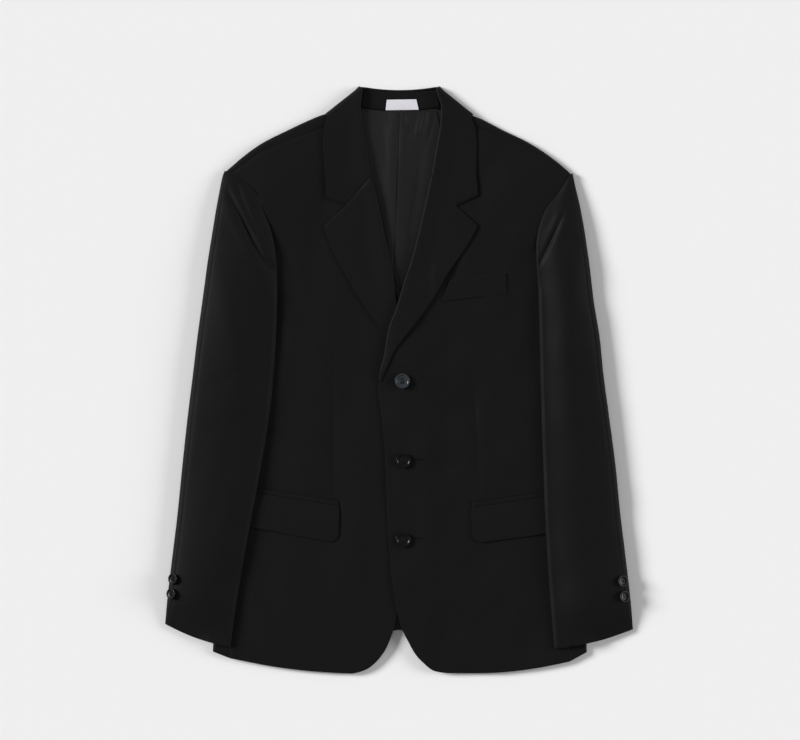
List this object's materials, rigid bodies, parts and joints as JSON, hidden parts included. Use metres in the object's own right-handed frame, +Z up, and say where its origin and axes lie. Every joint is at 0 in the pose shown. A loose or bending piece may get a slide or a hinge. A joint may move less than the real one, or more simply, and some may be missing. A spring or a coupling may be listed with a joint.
{
  "type": "single breasted blazer",
  "caption": "Black single breasted tailored blazer laid flat and buttoned, with notched lapels, a breast welt, flap pockets and buttoned cuffs.",
  "frame": {"origin": "centre of the bounding box at its bottom, on the surface that the blazer lies on", "axes": "+X towards the wearer's left, +Y up the body to the collar, +Z up from the surface through the fronts"},
  "size_m": [0.646, 0.8098, 0.0245],
  "materials": {
    "worsted": "black worsted twill with a soft, dull face",
    "lining": "charcoal satin lining",
    "woven_label": "blank white satin-woven label",
    "resin": "polished black polyester resin"
  },
  "bodies": {
    "root": {"back_right": "worsted", "side_right": "worsted", "front_right": "worsted", "lapel_right": "worsted", "top_sleeve_right": "worsted", "under_sleeve_right": "worsted", "pocket_flap_right": "worsted", "pocket_jet_right": "worsted", "lining_right": "lining", "cuff_button_right_1": "resin", "cuff_button_right_2": "resin", "back_left": "worsted", "side_left": "worsted", "front_left": "worsted", "lapel_left": "worsted", "top_sleeve_left": "worsted", "under_sleeve_left": "worsted", "pocket_flap_left": "worsted", "pocket_jet_left": "worsted", "lining_left": "lining", "cuff_button_left_1": "resin", "cuff_button_left_2": "resin", "collar": "worsted", "collar_stand": "worsted", "breast_welt": "worsted", "label": "woven_label", "front_button_1": "resin", "front_button_2": "resin", "front_button_3": "resin"}
  },
  "joints": []
}
